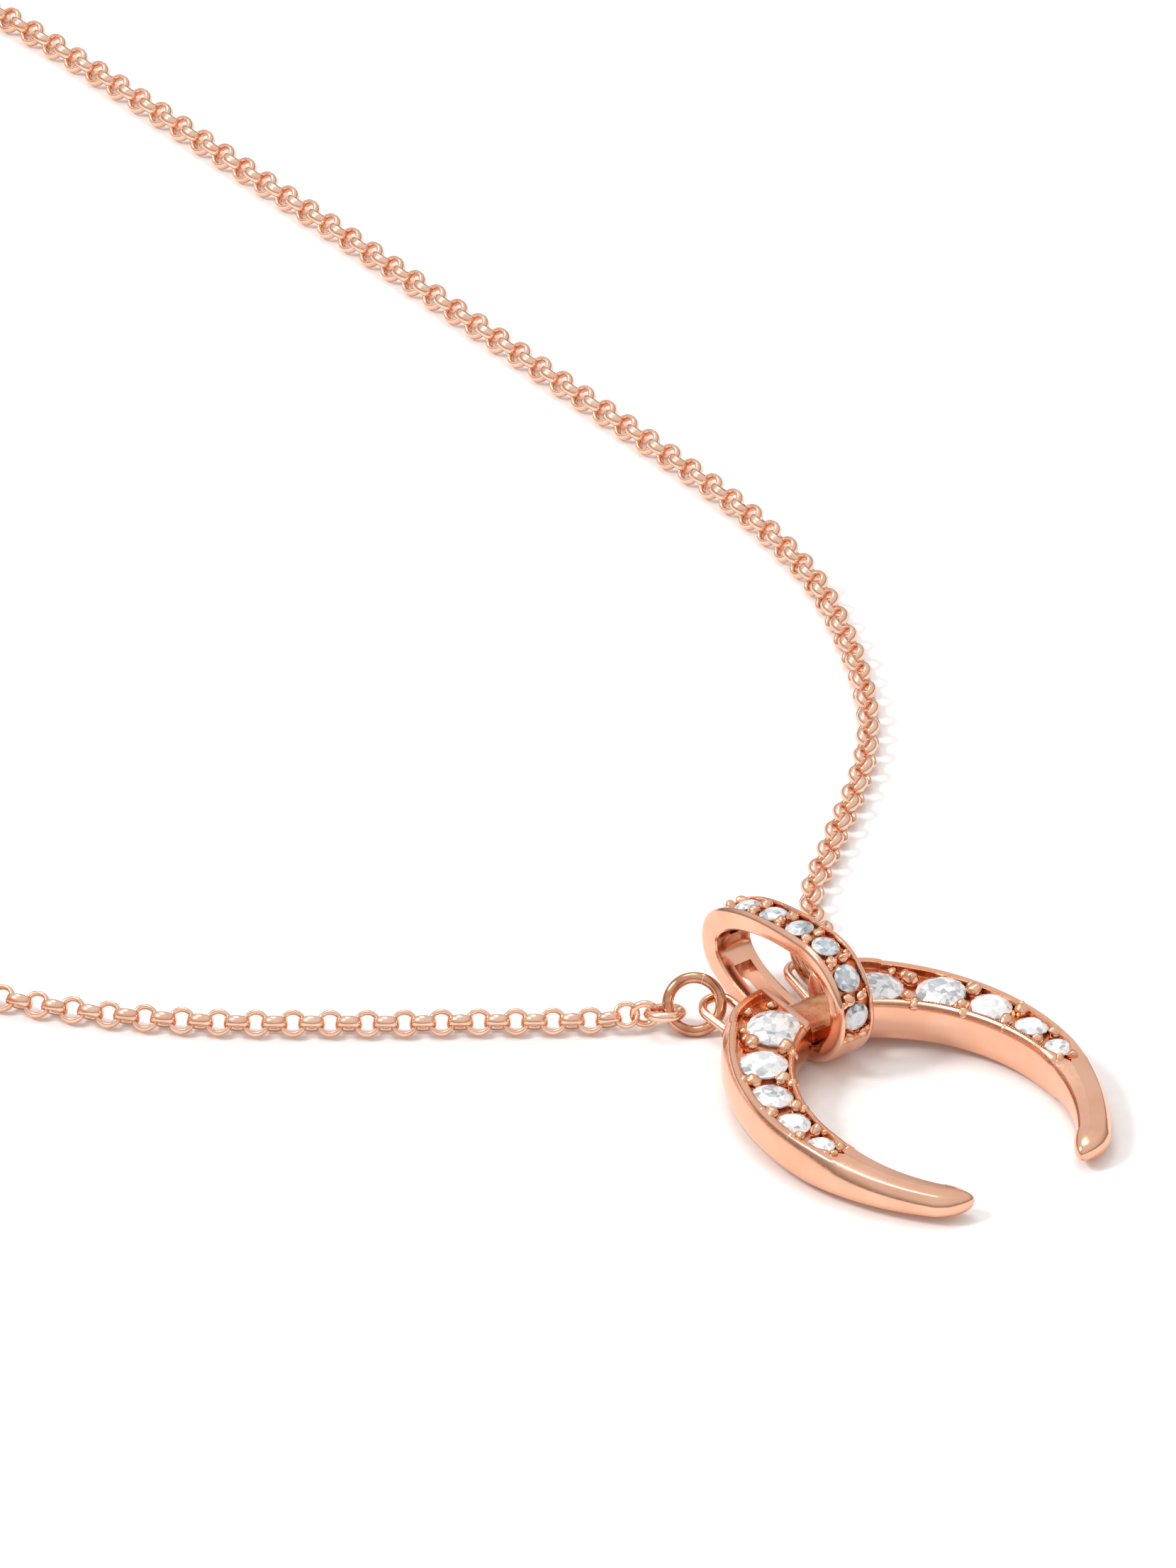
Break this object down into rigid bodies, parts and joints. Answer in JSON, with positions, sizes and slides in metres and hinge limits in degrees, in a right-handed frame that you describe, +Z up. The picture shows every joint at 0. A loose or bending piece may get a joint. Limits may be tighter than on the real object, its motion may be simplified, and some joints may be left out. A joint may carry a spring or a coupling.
{
  "type": "pendant necklace",
  "caption": "Open double-horn pendant set with round stones, on a stone-set slide bail, with a fine belcher chain and a lobster clasp.",
  "frame": {"origin": "middle of the bottom of the box round the horn, the bail, the loops and the jump rings, on the surface they lie on", "axes": "+Z up from the surface, +Y from the horn's tips towards its neck and bail, +X along the neck towards the right arm"},
  "size_m": [0.0758, 0.1365, 0.0062],
  "materials": {
    "gold": "rose gold, polished",
    "stone": "clear, facet-cut",
    "spring": "drawn wire"
  },
  "bodies": {
    "pendant": {"horn_body": "gold", "left_stone_1": "stone", "left_stone_2": "stone", "left_stone_3": "stone", "left_stone_4": "stone", "left_stone_5": "stone", "right_stone_1": "stone", "right_stone_2": "stone", "right_stone_3": "stone", "right_stone_4": "stone", "right_stone_5": "stone", "left_loop": "gold", "right_loop": "gold", "left_end_link": "gold", "right_end_link": "gold", "left_connecting_link": "gold", "right_connecting_link": "gold", "left_chain": "gold", "right_chain": "gold", "left_chain_coil": "gold", "right_chain_coil": "gold"},
    "bail": {"bail": "gold", "bail_stones": "stone"},
    "left_jump": {"left_jump_ring": "gold"},
    "right_jump": {"right_jump_ring": "gold"},
    "clasp_link": {"clasp_ring": "gold"},
    "clasp": {"clasp_body": "gold", "clasp_pin": "gold", "clasp_spring": "spring"},
    "trigger": {"clasp_trigger": "gold"},
    "catch": {"catch_ring": "gold"}
  },
  "joints": [
    {"name": "bail_swing", "type": "hinge", "parent": "pendant", "child": "bail", "pos_m": [0, 0.00427, 0.0031], "axis": [1, 0, 0], "range_deg": [0, 150]},
    {"name": "left_jump_spin", "type": "hinge", "parent": "pendant", "child": "left_jump", "pos_m": [-0.0034, 0.00924, 0.00134], "axis": [-0.5199, -0.677, 0.5209], "continuous": true},
    {"name": "right_jump_spin", "type": "hinge", "parent": "pendant", "child": "right_jump", "pos_m": [0.0034, 0.00924, 0.00134], "axis": [0.5199, -0.677, 0.5209], "continuous": true},
    {"name": "clasp_ring_spin", "type": "hinge", "parent": "pendant", "child": "clasp_link", "pos_m": [-0.04042, 0.0436, 0.0012], "axis": [0.6088, 0.7934, 0], "continuous": true},
    {"name": "clasp_swing", "type": "hinge", "parent": "pendant", "child": "clasp", "pos_m": [-0.04117, 0.04417, 0.0012], "axis": [0, 0, 1], "range_deg": [-25, 25]},
    {"name": "clasp_trigger_press", "type": "hinge", "parent": "clasp", "child": "trigger", "pos_m": [-0.04249, 0.04664, 0.0012], "axis": [0, 0, 1], "range_deg": [0, 20], "stiffness_Nm_per_rad": 0.0005},
    {"name": "catch_ring_spin", "type": "hinge", "parent": "pendant", "child": "catch", "pos_m": [0.01601, 0.12227, 0.0004], "axis": [0, 0, 1], "continuous": true}
  ]
}
